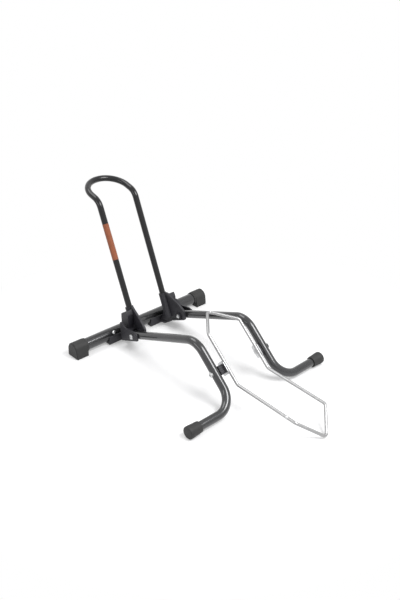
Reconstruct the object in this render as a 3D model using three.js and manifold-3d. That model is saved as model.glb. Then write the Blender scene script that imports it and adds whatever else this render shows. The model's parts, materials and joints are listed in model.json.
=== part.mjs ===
// A floor rack that holds one bicycle by its front wheel.
// Frame: X runs along the rear crossbar, -Y is the front where the wheel rolls in, +Z is up.
// Left is -X and right is +X. All sizes are in millimetres, and the floor is Z = 0.
import * as THREE from 'three';
import { mergeVertices } from 'three/addons/utils/BufferGeometryUtils.js';
import Module from 'manifold-3d';

const wasm = await Module();
wasm.setup();

// ---------------------------------------------------------------- driving dimensions
const SEAT_GAP = 0.3; // between pieces that touch
const RUN_GAP = 0.4; // between pieces that turn on each other
const OVERCUT = 2; // how far a cutting tool stands out of what it cuts

const CROSSBAR_R = 19.05;
const CROSSBAR_WALL = 1.6;
const CROSSBAR_HALF = 264; // to the outside of the end caps
const CROSSBAR_Z = 26;

const CAP_R = 22.5; // end caps of the crossbar
const CAP_FOOT_HALF = 24;
const CAP_FOOT_H = 9;
const CAP_LENGTH = 42;
const CAP_COLLAR = 6;
const CAP_COLLAR_R = 21.6;
const CAP_END_WALL = 4;
const CAP_TREAD_DEPTH = 1.2;

const HOOP_R = 9.5;
const HOOP_WALL = 1.5;
const HOOP_X = 67;
const HOOP_LEAN = 22; // degrees back from upright
const HOOP_AXIS_Y = -25.2; // where the leg's axis passes HOOP_AXIS_Z
const HOOP_AXIS_Z = 128;
const HOOP_RISE = 319; // along the leg, from there to the bend
const HOOP_BEND_R = 40;
const BOW_PITCH = 16; // degrees above level
const BOW_DEPTH = 102;
const BOW_CORNER_R = 66;

const LEG_R = 12.7;
const LEG_WALL = 1.5;
const LEG_X = 96;
const LEG_BEND_R = 60;
const LEG_TAIL = 34; // tube behind the fold pivot
const FOLD_Y = -98;
const FOLD_Z = 54.6;
const KNEE_Y = -369;
const KNEE_Z = 158.5;
const FOOT_Y = -520;

const FOOT_CAP_R = 18; // at the outer end, where it stands
const FOOT_CAP_NECK_R = 15.9;
const FOOT_CAP_LENGTH = 41;
const FOOT_CAP_END_WALL = 5;
const FOOT_CAP_ROUND = 3;
const FOOT_SPAN_HALF = 264;

const SADDLE_WALL = 3; // bracket: the trough that the crossbar lies in
const SADDLE_FLOOR = 4;
const SADDLE_RISE = 4; // of its walls above the crossbar's axis
const SADDLE_X_IN = 24;
const SADDLE_X_OUT = 141;
const SLEEVE_R = 13;
const SLEEVE_TOP = -14; // along the hoop's axis from HOOP_AXIS_Z
const SOCKET_BOTTOM = -90;
const BLOCK_X_IN = 73; // the block beside the socket
const BLOCK_X_OUT = 96;
const BLOCK_REAR_Y = -27;
const BLOCK_REAR_Z = 101;
const BLOCK_HEEL_Z = 60;
const BLOCK_TOP_Z = 118;
const BLOCK_CHAMFER = [8, 14]; // of its front top edge, where the folded leg passes
const GUSSET_HEEL = -74; // along the hoop's axis
const GUSSET_TOP = [-50, 123];
const GUSSET_SHOULDER = [-99, 98];
const GUSSET_FRONT = [-122, 80];
const GUSSET_LEAN = 0.14; // inwards per millimetre towards the back
const BRACKET_TOE = [-42, 8];
const OUTER_EAR_TOP_Z = 84;
const OUTER_EAR_BACK = 5; // behind the stop's back
const STOP_DEPTH = 14;
const EAR_THICK = 4.5;
const WEB_THICK = 4.5;
const EAR_REACH = 29; // ear in front of the fold pivot
const RIM_HEIGHT = 2.5;
const RIM_INSET = 0.87; // the pocket inside the rim, as a share of the gusset
const BOSS_R = 12.5;
const BOSS_X_IN = 71;
const NUT_POCKET_R = 9;

const CROSS_BOLT_R = 3;
const CROSS_BOLT_X = 119.5;
const CROSS_BOLT_TILT = 36; // degrees above level, to the front
const CROSS_HEAD_R = 6;
const CROSS_HEAD_H = 3.2;
const CROSS_NUT_R = 5.8;
const CROSS_NUT_H = 5;

const HOOP_SCREW_R = 2.4;
const HOOP_SCREW_ALONG = -28;
const HOOP_SCREW_HEAD_R = 4.6;
const HOOP_SCREW_HEAD_H = 2.6;

const PIN_R = 4; // fold bolts and cradle bolts
const PIN_HEAD_R = 7.2;
const PIN_HEAD_H = 3.8;
const PIN_NUT_R = 7.5;
const FOLD_NUT_H = 6.5;
const FOLD_TAIL = 4; // thread that stands out of the nut
const CRADLE_NUT_H = 4;
const CRADLE_TAIL = 1.5;
const WASHER_R = 8.2;
const WASHER_T = 1.5;
const BUSH_R = 6.2;

const ROD_R = 4.5; // cradle
const ROD_BEND_R = 14;
const ROD_TIP_R = 10;
const ROD_X = 60.3;
const ROD_WELD_R = 5.4;
const ROD_WELD_LENGTH = 7;
const CRADLE_ALONG = 0.5; // of the shin, from knee to ankle
const CRADLE_REAR_TIP = [134, 99.4]; // from the cradle pivot, towards +Y and +Z
const CRADLE_REAR_CORNER = [65.5, 80.8];
const CRADLE_FOLD = [-52, -28.7];
const CRADLE_FRONT_CORNER = [-258, -40];
const CRADLE_FRONT_TIP_Y = -315;
const PLATE_THICK = 3;
const PLATE_HALF = 20; // along the rod
const PLATE_BELOW = 10; // past the axle
const PLATE_ROUND = 7;
const SPACER_R = 9;

// ---------------------------------------------------------------- values that follow
const rad = THREE.MathUtils.degToRad;
const SIDES = [['left', -1], ['right', 1]];
const ROUND = 16; // sides of a tube or pin
const legUp = Math.atan2(KNEE_Z - FOLD_Z, FOLD_Y - KNEE_Y);
const ALONG_LEG = [-Math.cos(legUp), Math.sin(legUp)]; // in Y and Z
const ABOVE_LEG = [Math.sin(legUp), Math.cos(legUp)];
const HOOP_UP = [Math.sin(rad(HOOP_LEAN)), Math.cos(rad(HOOP_LEAN))];
const HOOP_FRONT = [-HOOP_UP[1], HOOP_UP[0]];
const CRADLE_Y = KNEE_Y + (FOOT_Y - KNEE_Y) * CRADLE_ALONG;
const CRADLE_Z = KNEE_Z + (FOOT_CAP_R - KNEE_Z) * CRADLE_ALONG;
const INNER_EAR_OUT = LEG_X - LEG_R - SEAT_GAP;
const INNER_EAR_IN = INNER_EAR_OUT - EAR_THICK;
const OUTER_EAR_IN = LEG_X + LEG_R + SEAT_GAP;
const OUTER_EAR_OUT = OUTER_EAR_IN + EAR_THICK;
const SADDLE_HALF = CROSSBAR_R + SEAT_GAP + SADDLE_WALL;
const SADDLE_TOP_Z = CROSSBAR_Z + SADDLE_RISE;
const SADDLE_BOTTOM_Z = CROSSBAR_Z - CROSSBAR_R - SEAT_GAP - SADDLE_FLOOR;
const CROSS_NUT_SEAT = CROSSBAR_R + SEAT_GAP + SADDLE_WALL;
const TAIL_WALL_Y = FOLD_Y + Math.hypot(LEG_TAIL, LEG_R) + 1;
const STOP_BACK_Y = TAIL_WALL_Y + STOP_DEPTH;
const PLATE_X_IN = ROD_X + ROD_R + SEAT_GAP;
const PLATE_X_OUT = PLATE_X_IN + PLATE_THICK;

// ---------------------------------------------------------------- materials
function finish(color, roughness, metalness) {
  return new THREE.MeshStandardMaterial({ color, roughness, metalness });
}
const GREY_PAINT = finish(0x4a4b4d, 0.3, 0.6);
const BLACK_PAINT = finish(0x1d1e20, 0.25, 0.4);
const BLACK_PLASTIC = finish(0x26272b, 0.6, 0);
const CAP_PLASTIC = finish(0x2f3033, 0.7, 0);
const ZINC = finish(0xb9bbbd, 0.3, 0.95);
const BRIGHT_ROD = finish(0xc9cbcd, 0.22, 1);

// ---------------------------------------------------------------- helpers
const rack = new THREE.Group();

function add(name, geometry, material) {
  const mesh = new THREE.Mesh(geometry, material);
  mesh.name = name;
  rack.add(mesh);
}

function solid(geometry) {
  const bare = geometry.clone();
  bare.deleteAttribute('normal');
  bare.deleteAttribute('uv');
  const merged = mergeVertices(bare, 1e-4);
  return new wasm.Manifold(new wasm.Mesh({
    numProp: 3,
    vertProperties: new Float32Array(merged.attributes.position.array),
    triVerts: new Uint32Array(merged.index.array),
  }));
}

function surface(manifold) {
  const { vertProperties, triVerts } = manifold.getMesh();
  const geometry = new THREE.BufferGeometry();
  geometry.setAttribute('position', new THREE.BufferAttribute(vertProperties, 3));
  geometry.setIndex(new THREE.BufferAttribute(triVerts, 1));
  return geometry;
}

function union(shapes) {
  return shapes.map(solid).reduce((whole, next) => whole.add(next));
}

function cut(whole, tools) {
  return tools.map(solid).reduce((rest, tool) => rest.subtract(tool), whole);
}

// A regular outline whose corners lie on the radius.
function circle(radius, sides = ROUND) {
  const step = (2 * Math.PI) / sides;
  return Array.from({ length: sides }, (_, i) => new THREE.Vector2(
    radius * Math.cos((i + 0.5) * step),
    radius * Math.sin((i + 0.5) * step),
  ));
}

// The radius of a regular hole whose flats clear the given radius.
function around(radius, sides = ROUND) {
  return radius / Math.cos(Math.PI / sides);
}

// A plate that lies in Y and Z, between two places along X.
function plate(outline, xa, xb, holes = []) {
  const shape = new THREE.Shape(outline.map(([y, z]) => new THREE.Vector2(y, z)));
  holes.forEach((hole) => shape.holes.push(new THREE.Path(hole)));
  const geometry = new THREE.ExtrudeGeometry(shape, { depth: Math.abs(xb - xa), bevelEnabled: false });
  const basis = new THREE.Matrix4().makeBasis(
    new THREE.Vector3(0, 1, 0),
    new THREE.Vector3(0, 0, 1),
    new THREE.Vector3(1, 0, 0),
  );
  return geometry.applyMatrix4(basis).translate(Math.min(xa, xb), 0, 0);
}

// Corners of an outline rounded to one radius, each in a few steps.
function rounded(corners, radius, steps = 3) {
  return corners.flatMap((corner, i) => {
    const here = new THREE.Vector2(...corner);
    const back = new THREE.Vector2(...corners.at(i - 1)).sub(here);
    const ahead = new THREE.Vector2(...corners[(i + 1) % corners.length]).sub(here);
    const reach = Math.min(radius, back.length() / 2.2, ahead.length() / 2.2);
    const from = here.clone().addScaledVector(back.normalize(), reach);
    const to = here.clone().addScaledVector(ahead.normalize(), reach);
    const bend = new THREE.QuadraticBezierCurve(from, here, to);
    return bend.getPoints(steps).map((point) => [point.x, point.y]);
  });
}

// An outline drawn in towards its middle.
function inset(outline, share) {
  const middle = [0, 1].map((k) => outline.reduce((sum, point) => sum + point[k], 0) / outline.length);
  return outline.map((point) => point.map((value, k) => middle[k] + (value - middle[k]) * share));
}

// A turned piece: radii and stations along its axis, from a point and in a direction.
function turned(profile, origin, direction, sides = ROUND) {
  const points = profile.map(([radius, station]) => new THREE.Vector2(radius, station));
  const geometry = new THREE.LatheGeometry(points, sides);
  const turn = new THREE.Quaternion().setFromUnitVectors(
    new THREE.Vector3(0, 1, 0),
    new THREE.Vector3(...direction).normalize(),
  );
  return geometry.applyQuaternion(turn).translate(...origin);
}

function rod(radius, from, to, origin, direction, sides = ROUND) {
  return turned([[0, from], [radius, from], [radius, to], [0, to]], origin, direction, sides);
}

// A washer, bush or spacer.
function sleeve(radius, bore, from, to, origin, direction, sides = ROUND) {
  const hole = around(bore, sides);
  return turned(
    [[hole, from], [radius, from], [radius, to], [hole, to], [hole, from]],
    origin,
    direction,
    sides,
  );
}

// A six-sided nut with its bore.
function nut(radius, bore, from, to, origin, direction) {
  const blank = rod(around(radius * Math.cos(Math.PI / 6), 6), from, to, origin, direction, 6);
  const drill = rod(around(bore), from - OVERCUT, to + OVERCUT, origin, direction);
  return surface(cut(solid(blank), [drill]));
}

// A domed bolt: the head stands behind the origin and the shank runs along the direction.
function bolt(shankR, headR, headH, length, origin, direction) {
  const dome = [];
  const steps = 4;
  for (let i = 0; i <= steps; i += 1) {
    const angle = (i / steps) * Math.PI * 0.5;
    dome.push([headR * Math.sin(angle), -headH * Math.cos(angle)]);
  }
  return turned([...dome, [shankR, 0], [shankR, length], [0, length]], origin, direction, 12);
}

// The centreline of a bent tube: straight runs and round bends, one ring at each station.
class BentPath extends THREE.Curve {
  constructor(corners, radii, degreesPerRing = 15) {
    super();
    const points = corners.map((corner) => new THREE.Vector3(...corner));
    this.stations = [];
    const put = (point, tangent) => this.stations.push({ point, tangent });
    put(points[0], points[1].clone().sub(points[0]).normalize());
    for (let i = 1; i < points.length - 1; i += 1) {
      const into = points[i].clone().sub(points[i - 1]).normalize();
      const out = points[i + 1].clone().sub(points[i]).normalize();
      const turn = into.angleTo(out);
      const radius = radii[i - 1];
      const setback = radius * Math.tan(turn / 2);
      const start = points[i].clone().addScaledVector(into, -setback);
      const inward = out.clone().addScaledVector(into, -into.dot(out)).normalize();
      const rings = Math.max(2, Math.round(THREE.MathUtils.radToDeg(turn) / degreesPerRing));
      for (let k = 0; k <= rings; k += 1) {
        const angle = (turn * k) / rings;
        const point = start.clone()
          .addScaledVector(into, radius * Math.sin(angle))
          .addScaledVector(inward, radius * (1 - Math.cos(angle)));
        const tangent = into.clone().multiplyScalar(Math.cos(angle)).addScaledVector(inward, Math.sin(angle));
        put(point, tangent.normalize());
      }
    }
    const last = points.length - 1;
    put(points[last], points[last].clone().sub(points[last - 1]).normalize());
  }

  station(t) {
    return this.stations[Math.round(t * (this.stations.length - 1))];
  }

  getPoint(t) {
    return this.station(t).point.clone();
  }

  getPointAt(t) {
    return this.getPoint(t);
  }

  getTangentAt(t) {
    return this.station(t).tangent.clone();
  }
}

function swept(path, radius, wall, sides = ROUND) {
  const section = new THREE.Shape(circle(radius, sides));
  if (wall > 0) {
    section.holes.push(new THREE.Path(circle(radius - wall, sides)));
  }
  return new THREE.ExtrudeGeometry(section, { steps: path.stations.length - 1, extrudePath: path });
}

// A place in Y and Z that lies along and above the leg's upper run, counted from the fold pivot.
function onLeg(along, above) {
  return [
    FOLD_Y + ALONG_LEG[0] * along + ABOVE_LEG[0] * above,
    FOLD_Z + ALONG_LEG[1] * along + ABOVE_LEG[1] * above,
  ];
}

// A place in Y and Z that lies along and in front of the hoop leg's axis.
function onHoop(along, front) {
  return [
    HOOP_AXIS_Y + HOOP_UP[0] * along + HOOP_FRONT[0] * front,
    HOOP_AXIS_Z + HOOP_UP[1] * along + HOOP_FRONT[1] * front,
  ];
}

// ---------------------------------------------------------------- crossbar and its caps
const boltDirection = [0, Math.cos(rad(CROSS_BOLT_TILT)), -Math.sin(rad(CROSS_BOLT_TILT))];
const boltCentre = (side) => [side * CROSS_BOLT_X, 0, CROSSBAR_Z];

function crossbar() {
  const half = CROSSBAR_HALF - CAP_END_WALL - SEAT_GAP;
  const tube = sleeve(CROSSBAR_R, CROSSBAR_R - CROSSBAR_WALL, -half, half, [0, 0, CROSSBAR_Z], [1, 0, 0], 24);
  const drills = SIDES.map(([, side]) => rod(
    around(CROSS_BOLT_R + SEAT_GAP),
    -CROSSBAR_R - OVERCUT,
    CROSSBAR_R + OVERCUT,
    boltCentre(side),
    boltDirection,
  ));
  return surface(cut(solid(tube), drills));
}

// Round over the tube, with straight sides down to a wider flat foot.
function capOutline() {
  const top = [];
  const steps = 14;
  for (let i = 0; i <= steps; i += 1) {
    const angle = (i / steps) * Math.PI;
    top.push([CAP_R * Math.cos(angle), CROSSBAR_Z + CAP_R * Math.sin(angle)]);
  }
  const foot = [
    [-CAP_FOOT_HALF, CAP_FOOT_H],
    [-CAP_FOOT_HALF, 0],
    [CAP_FOOT_HALF, 0],
    [CAP_FOOT_HALF, CAP_FOOT_H],
  ];
  return [...top, ...foot];
}

function crossbarCap(side) {
  const axis = [0, 0, CROSSBAR_Z];
  const out = [side, 0, 0];
  const inEnd = CROSSBAR_HALF - CAP_LENGTH;
  const bevel = 2;
  const body = plate(capOutline(), side * inEnd, side * (CROSSBAR_HALF - bevel));
  const face = plate(
    rounded(capOutline().map(([y, z]) => [y * 0.93, Math.max(z * 0.95, bevel)]), 1, 1),
    side * (CROSSBAR_HALF - bevel),
    side * CROSSBAR_HALF,
  );
  const collar = rod(CAP_COLLAR_R, inEnd - CAP_COLLAR, inEnd + OVERCUT, axis, out, 24);
  const bore = rod(
    around(CROSSBAR_R + SEAT_GAP, 24),
    inEnd - CAP_COLLAR - OVERCUT,
    CROSSBAR_HALF - CAP_END_WALL,
    axis,
    out,
    24,
  );
  const tread = [];
  for (let i = 0; i < 3; i += 1) {
    const x = inEnd + (CAP_LENGTH * (i + 1)) / 4;
    const groove = new THREE.BoxGeometry(2, 2 * CAP_FOOT_HALF + OVERCUT, 2 * CAP_TREAD_DEPTH);
    tread.push(groove.translate(side * x, 0, 0));
  }
  return surface(cut(union([body, face, collar]), [bore, ...tread]));
}

add('crossbar_tube', crossbar(), GREY_PAINT);
SIDES.forEach(([hand, side]) => add(`crossbar_cap_${hand}`, crossbarCap(side), CAP_PLASTIC));

// ---------------------------------------------------------------- hoop
function hoop() {
  const [footY, footZ] = onHoop(SOCKET_BOTTOM + SEAT_GAP, 0);
  const [bendY, bendZ] = onHoop(HOOP_RISE, 0);
  const backY = bendY + BOW_DEPTH * Math.cos(rad(BOW_PITCH));
  const backZ = bendZ + BOW_DEPTH * Math.sin(rad(BOW_PITCH));
  const path = new BentPath(
    [
      [-HOOP_X, footY, footZ],
      [-HOOP_X, bendY, bendZ],
      [-HOOP_X, backY, backZ],
      [HOOP_X, backY, backZ],
      [HOOP_X, bendY, bendZ],
      [HOOP_X, footY, footZ],
    ],
    [HOOP_BEND_R, BOW_CORNER_R, BOW_CORNER_R, HOOP_BEND_R],
  );
  const drills = SIDES.map(([, side]) => rod(
    around(HOOP_SCREW_R + SEAT_GAP, 12),
    0,
    SLEEVE_R + OVERCUT,
    [side * HOOP_X, ...onHoop(HOOP_SCREW_ALONG, 0)],
    [0, -HOOP_FRONT[0], -HOOP_FRONT[1]],
    12,
  ));
  return surface(cut(solid(swept(path, HOOP_R, HOOP_WALL)), drills));
}

add('hoop_tube', hoop(), BLACK_PAINT);

// ---------------------------------------------------------------- brackets
// A low trough that the crossbar lies in. Its upper part stays bare.
function saddle(side) {
  const outline = rounded(
    [
      [-SADDLE_HALF, SADDLE_TOP_Z],
      [-SADDLE_HALF, SADDLE_BOTTOM_Z],
      [SADDLE_HALF, SADDLE_BOTTOM_Z],
      [SADDLE_HALF, SADDLE_TOP_Z],
    ],
    3,
  );
  return plate(outline, side * SADDLE_X_IN, side * SADDLE_X_OUT);
}

// The gusset and inner ear: from the trough to the fold pivot, and up to the sleeve's top.
function gussetOutline() {
  return rounded(
    [
      [-SADDLE_HALF + 2, BRACKET_TOE[1]],
      BRACKET_TOE,
      onLeg(-LEG_TAIL, -LEG_R - 1),
      onLeg(EAR_REACH - 4, -LEG_R - 1),
      onLeg(EAR_REACH, 2),
      GUSSET_FRONT,
      GUSSET_SHOULDER,
      GUSSET_TOP,
      onHoop(SLEEVE_TOP, 0),
      onHoop(GUSSET_HEEL, -SLEEVE_R),
    ],
    5,
  );
}

// The gusset leans inwards as it runs back, and its front edge keeps its place.
function leaned(geometry, side) {
  const front = Math.min(...gussetOutline().map(([y]) => y));
  const lean = new THREE.Matrix4();
  lean.elements[4] = -side * GUSSET_LEAN;
  lean.elements[12] = side * GUSSET_LEAN * front;
  return geometry.applyMatrix4(lean);
}

function outerEarOutline() {
  const backY = STOP_BACK_Y + OUTER_EAR_BACK;
  const along = (backY - FOLD_Y) / ALONG_LEG[0];
  return rounded(
    [
      onLeg(along, -LEG_R - 1),
      onLeg(EAR_REACH - 3, -LEG_R - 1),
      onLeg(EAR_REACH, 8),
      onLeg(16, LEG_R + 4),
      onLeg(-20, LEG_R + 12),
      [backY, OUTER_EAR_TOP_Z],
    ],
    4,
  );
}

// The tall block beside the hoop's socket, which stands on the trough.
function blockOutline() {
  const [chamferY, chamferZ] = BLOCK_CHAMFER;
  return rounded(
    [
      [BLOCK_REAR_Y, BLOCK_REAR_Z],
      [TAIL_WALL_Y + chamferY, BLOCK_TOP_Z],
      [TAIL_WALL_Y, BLOCK_TOP_Z - chamferZ],
      [TAIL_WALL_Y, BRACKET_TOE[1] + 12],
      BRACKET_TOE,
      [-SADDLE_HALF + 2, BRACKET_TOE[1]],
      [-SADDLE_HALF + 2, SADDLE_TOP_Z],
      [BLOCK_REAR_Y, BLOCK_HEEL_Z],
    ],
    4,
  );
}

// The roof over the leg's tail, which stops it when the stand is open, and the wall behind it.
function stopOutline() {
  const under = LEG_R + SEAT_GAP;
  const roofAtWall = (TAIL_WALL_Y - onLeg(0, under)[0]) / ALONG_LEG[0];
  return [
    onLeg(-20, under),
    onLeg(roofAtWall, under),
    [TAIL_WALL_Y, CROSSBAR_Z],
    [STOP_BACK_Y, CROSSBAR_Z - 5],
    [STOP_BACK_Y, onLeg(roofAtWall, under)[1] + WEB_THICK],
    onLeg(-20, under + WEB_THICK),
  ];
}

function bracket(side) {
  const hoopAxis = [side * HOOP_X, ...onHoop(0, 0)];
  const up = [0, ...HOOP_UP];
  const pivot = [0, FOLD_Y, FOLD_Z];
  const outward = [side, 0, 0];
  const rimX = INNER_EAR_IN - RIM_HEIGHT;
  const gusset = leaned(plate(gussetOutline(), side * INNER_EAR_IN, side * INNER_EAR_OUT), side);
  const rimPlate = leaned(plate(gussetOutline(), side * rimX, side * (INNER_EAR_IN + 1)), side);
  const inner = inset(gussetOutline(), RIM_INSET);
  const rimPocket = leaned(plate(inner, side * (rimX - OVERCUT), side * INNER_EAR_IN), side);
  const rim = cut(solid(rimPlate), [rimPocket]);
  const boss = rod(BOSS_R, BOSS_X_IN, INNER_EAR_OUT, pivot, outward, 24);
  const outerEar = plate(outerEarOutline(), side * OUTER_EAR_IN, side * OUTER_EAR_OUT);
  const block = plate(blockOutline(), side * BLOCK_X_IN, side * BLOCK_X_OUT);
  const stop = plate(stopOutline(), side * (BLOCK_X_IN - 3), side * (OUTER_EAR_OUT - 1));
  const tower = rod(SLEEVE_R, SOCKET_BOTTOM - WEB_THICK, SLEEVE_TOP, hoopAxis, up, 24);
  const whole = union([saddle(side), gusset, boss, outerEar, block, stop, tower]).add(rim);
  const socket = rod(around(HOOP_R + SEAT_GAP), SOCKET_BOTTOM, OVERCUT, hoopAxis, up);
  const barBore = rod(
    around(CROSSBAR_R + SEAT_GAP, 24),
    SADDLE_X_IN - OVERCUT,
    SADDLE_X_OUT + OVERCUT,
    [0, 0, CROSSBAR_Z],
    outward,
    24,
  );
  const pinBore = rod(around(PIN_R + SEAT_GAP), BOSS_X_IN, OUTER_EAR_OUT + OVERCUT, pivot, outward);
  const nutPocket = rod(NUT_POCKET_R, BOSS_X_IN - 10, INNER_EAR_IN, pivot, outward, 24);
  const boltBore = rod(
    around(CROSS_BOLT_R + SEAT_GAP),
    0,
    CROSS_NUT_SEAT + OVERCUT,
    boltCentre(side),
    boltDirection,
  );
  const boltPocket = rod(
    around(CROSS_NUT_R + SEAT_GAP),
    CROSS_NUT_SEAT,
    CROSS_NUT_SEAT + 3 * CROSS_NUT_H,
    boltCentre(side),
    boltDirection,
  );
  const screwAt = [side * HOOP_X, ...onHoop(HOOP_SCREW_ALONG, 0)];
  const rearward = [0, -HOOP_FRONT[0], -HOOP_FRONT[1]];
  const screwBore = rod(around(HOOP_SCREW_R + SEAT_GAP, 12), 0, SLEEVE_R + OVERCUT, screwAt, rearward, 12);
  return surface(cut(whole, [socket, barBore, pinBore, nutPocket, boltBore, boltPocket, screwBore]));
}

SIDES.forEach(([hand, side]) => add(`bracket_${hand}`, bracket(side), BLACK_PLASTIC));

// ---------------------------------------------------------------- fasteners of the frame
SIDES.forEach(([hand, side]) => {
  const headAt = CROSSBAR_R + SEAT_GAP;
  const [x, y, z] = boltCentre(side);
  const head = [x, y - headAt * boltDirection[1], z - headAt * boltDirection[2]];
  const nutFrom = CROSS_NUT_SEAT + SEAT_GAP;
  const length = headAt + nutFrom + CROSS_NUT_H + 1;
  add(
    `crossbar_bolt_${hand}`,
    bolt(CROSS_BOLT_R, CROSS_HEAD_R, CROSS_HEAD_H, length, head, boltDirection),
    ZINC,
  );
  add(
    `crossbar_nut_${hand}`,
    nut(CROSS_NUT_R, CROSS_BOLT_R + SEAT_GAP, nutFrom, nutFrom + CROSS_NUT_H, [x, y, z], boltDirection),
    ZINC,
  );

  const screwAt = SLEEVE_R + SEAT_GAP;
  const forward = [0, ...HOOP_FRONT];
  const [sy, sz] = onHoop(HOOP_SCREW_ALONG, -screwAt);
  const screwLength = screwAt - HOOP_R + HOOP_WALL + 3;
  add(
    `hoop_screw_${hand}`,
    bolt(HOOP_SCREW_R, HOOP_SCREW_HEAD_R, HOOP_SCREW_HEAD_H, screwLength, [side * HOOP_X, sy, sz], forward),
    ZINC,
  );

  const pivot = [0, FOLD_Y, FOLD_Z];
  const outward = [side, 0, 0];
  const washerFrom = OUTER_EAR_OUT + SEAT_GAP;
  add(
    `fold_washer_${hand}`,
    sleeve(WASHER_R, PIN_R + SEAT_GAP, washerFrom, washerFrom + WASHER_T, pivot, outward),
    ZINC,
  );
  const headFrom = washerFrom + WASHER_T + SEAT_GAP;
  const nutTo = INNER_EAR_IN - SEAT_GAP;
  const pinLength = headFrom - nutTo + FOLD_NUT_H + FOLD_TAIL;
  add(
    `fold_bolt_${hand}`,
    bolt(PIN_R, PIN_HEAD_R, PIN_HEAD_H, pinLength, [side * headFrom, FOLD_Y, FOLD_Z], [-side, 0, 0]),
    ZINC,
  );
  add(`fold_nut_${hand}`, nut(PIN_NUT_R, PIN_R + SEAT_GAP, nutTo - FOLD_NUT_H, nutTo, pivot, outward), ZINC);
});

// ---------------------------------------------------------------- legs
function leg(side) {
  const [tailY, tailZ] = onLeg(-LEG_TAIL, 0);
  const footEnd = FOOT_SPAN_HALF - FOOT_CAP_END_WALL - SEAT_GAP;
  const path = new BentPath(
    [
      [side * LEG_X, tailY, tailZ],
      [side * LEG_X, KNEE_Y, KNEE_Z],
      [side * LEG_X, FOOT_Y, FOOT_CAP_R],
      [side * footEnd, FOOT_Y, FOOT_CAP_R],
    ],
    [LEG_BEND_R, LEG_BEND_R],
  );
  const outward = [side, 0, 0];
  const across = [LEG_X - LEG_R - OVERCUT, LEG_X + LEG_R + OVERCUT];
  const bushBore = rod(around(BUSH_R + SEAT_GAP), ...across, [0, FOLD_Y, FOLD_Z], outward);
  const axleBore = rod(around(PIN_R + SEAT_GAP), ...across, [0, CRADLE_Y, CRADLE_Z], outward);
  return surface(cut(solid(swept(path, LEG_R, LEG_WALL)), [bushBore, axleBore]));
}

function footCap(side) {
  const neck = FOOT_SPAN_HALF - FOOT_CAP_LENGTH;
  const bore = around(LEG_R + SEAT_GAP, 24);
  const bottom = FOOT_SPAN_HALF - FOOT_CAP_END_WALL;
  const round = FOOT_CAP_ROUND;
  const corner = [];
  const steps = 3;
  for (let i = 1; i <= steps; i += 1) {
    const angle = (i / steps) * Math.PI * 0.5;
    corner.push([
      FOOT_CAP_R - round + round * Math.cos(angle),
      FOOT_SPAN_HALF - round + round * Math.sin(angle),
    ]);
  }
  const profile = [
    [0, bottom],
    [bore, bottom],
    [bore, neck],
    [FOOT_CAP_NECK_R, neck],
    [FOOT_CAP_NECK_R + 0.6, neck + 5],
    [FOOT_CAP_R - 0.6, FOOT_SPAN_HALF - 14],
    [FOOT_CAP_R, FOOT_SPAN_HALF - 11],
    [FOOT_CAP_R, FOOT_SPAN_HALF - round],
    ...corner,
    [0, FOOT_SPAN_HALF],
  ];
  return turned(profile, [0, FOOT_Y, FOOT_CAP_R], [side, 0, 0], 24);
}

SIDES.forEach(([hand, side]) => {
  add(`leg_tube_${hand}`, leg(side), GREY_PAINT);
  add(`foot_cap_${hand}`, footCap(side), CAP_PLASTIC);
  const bushHalf = LEG_R;
  add(
    `fold_bush_${hand}`,
    sleeve(BUSH_R, PIN_R + SEAT_GAP, LEG_X - bushHalf, LEG_X + bushHalf, [0, FOLD_Y, FOLD_Z], [side, 0, 0]),
    ZINC,
  );
});

// ---------------------------------------------------------------- cradle and its axle
const cradlePoint = ([y, z]) => [CRADLE_Y + y, CRADLE_Z + z];
const rearTip = cradlePoint(CRADLE_REAR_TIP);
const rearCorner = cradlePoint(CRADLE_REAR_CORNER);
const foldCorner = cradlePoint(CRADLE_FOLD);
const frontCorner = cradlePoint(CRADLE_FRONT_CORNER);
const frontTip = [CRADLE_Y + CRADLE_FRONT_TIP_Y, ROD_R];

// The rod starts and ends at a butt weld near the left front corner.
function cradleRod() {
  const at = (side, [y, z]) => new THREE.Vector3(side * ROD_X, y, z);
  const weld = at(-1, frontCorner).lerp(at(-1, foldCorner), 0.14);
  const along = at(-1, foldCorner).sub(at(-1, frontCorner)).normalize();
  const ends = [-0.5, 0.5].map((step) => weld.clone().addScaledVector(along, step).toArray());
  const corners = [
    ends[1],
    at(-1, foldCorner).toArray(),
    at(-1, rearCorner).toArray(),
    [0, ...rearTip],
    at(1, rearCorner).toArray(),
    at(1, foldCorner).toArray(),
    at(1, frontCorner).toArray(),
    [0, ...frontTip],
    at(-1, frontCorner).toArray(),
    ends[0],
  ];
  const half = [ROD_BEND_R, ROD_BEND_R, ROD_TIP_R, ROD_BEND_R];
  const radii = [...half, ...half];
  const loop = swept(new BentPath(corners, radii, 18), ROD_R, 0, 10);
  const end = ROD_WELD_LENGTH / 2;
  const bead = turned(
    [[0, -end], [ROD_R, -end], [ROD_WELD_R, -end / 2], [ROD_WELD_R, end / 2], [ROD_R, end], [0, end]],
    weld.toArray(),
    along.toArray(),
  );
  return surface(union([loop, bead]));
}

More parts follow.
